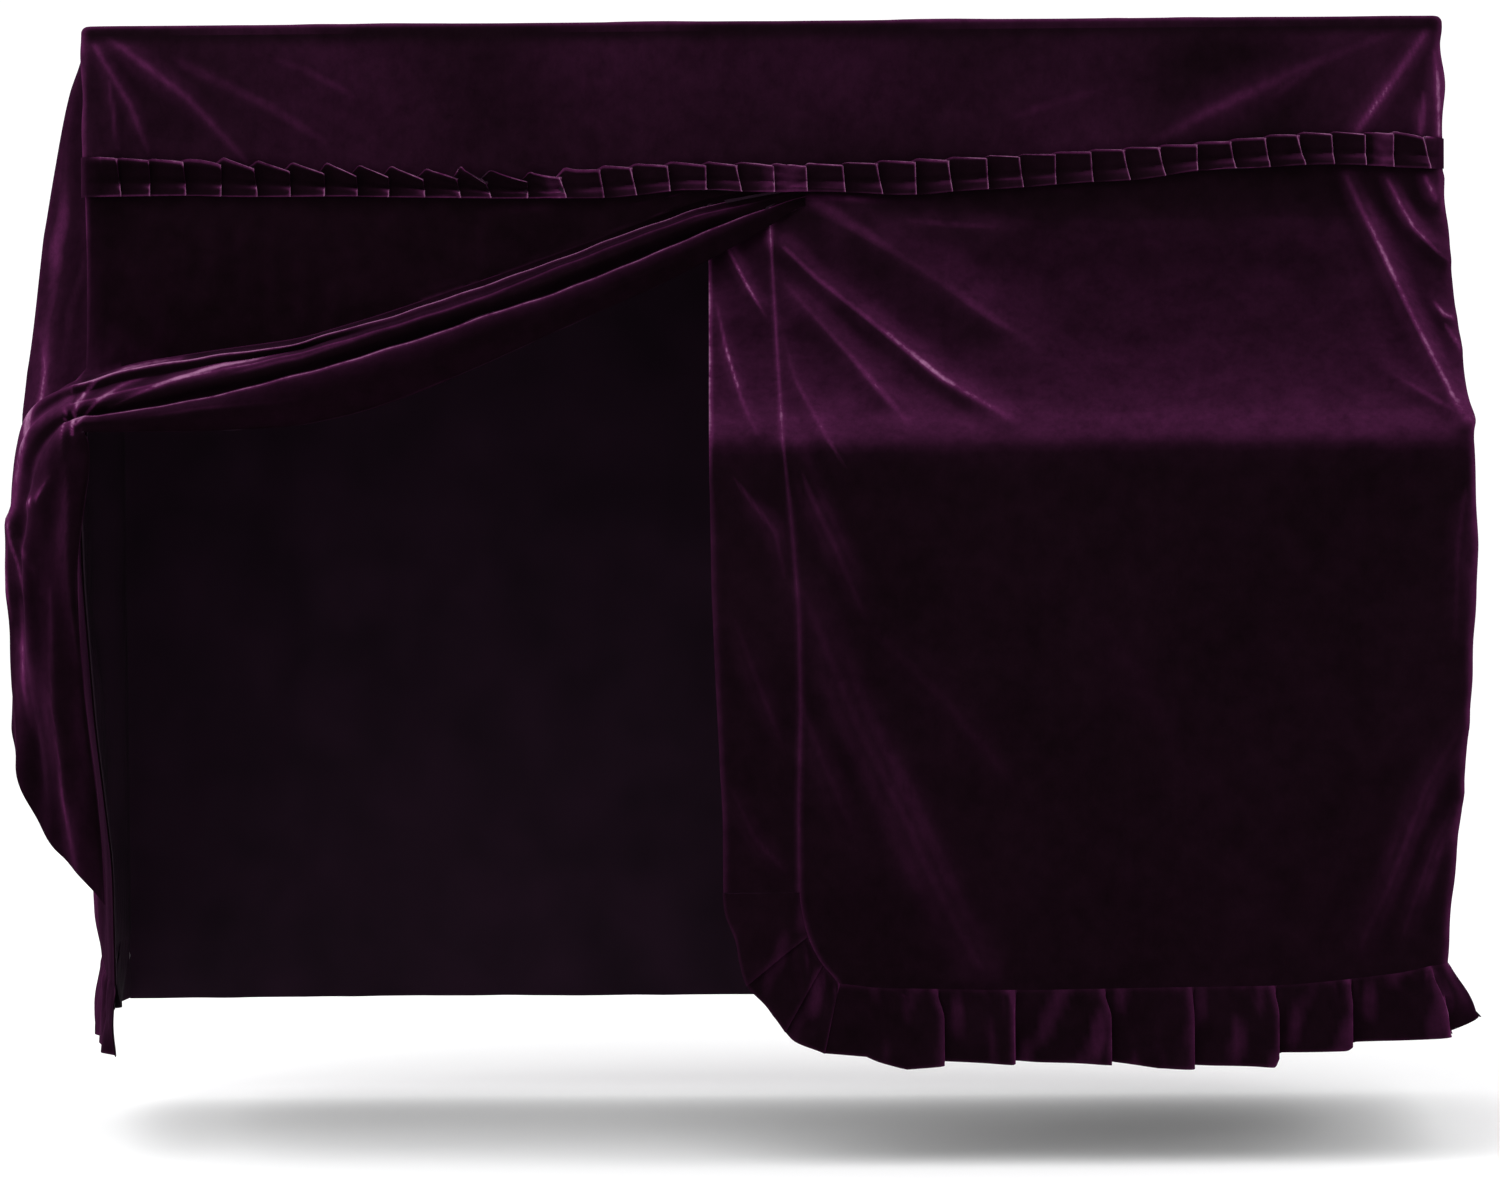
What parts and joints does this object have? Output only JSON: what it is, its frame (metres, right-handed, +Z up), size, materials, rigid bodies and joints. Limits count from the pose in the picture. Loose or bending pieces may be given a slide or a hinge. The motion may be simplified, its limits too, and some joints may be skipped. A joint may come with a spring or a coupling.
{
  "type": "piano cover",
  "caption": "Full velvet cover for an upright piano, with a pleated heading and hem, its left front leaf gathered up over the arm.",
  "frame": {"origin": "middle of the underside of the top panel, where it lies on the piano's lid", "axes": "+Z up, -Y towards the player at the front, +X to the right as seen from the front"},
  "size_m": [1.5906, 0.648, 1.1315],
  "materials": {
    "velvet": "deep plum pile velvet, dark face on, bright magenta at grazing angles"
  },
  "bodies": {
    "root": {"top_panel": "velvet", "front_valance": "velvet", "header_ruffle": "velvet", "left_leaf": "velvet", "right_leaf": "velvet", "right_border": "velvet", "right_ruffle": "velvet", "side_left": "velvet", "side_right": "velvet", "ruffle_left": "velvet", "ruffle_right": "velvet", "back_panel": "velvet"}
  },
  "joints": []
}
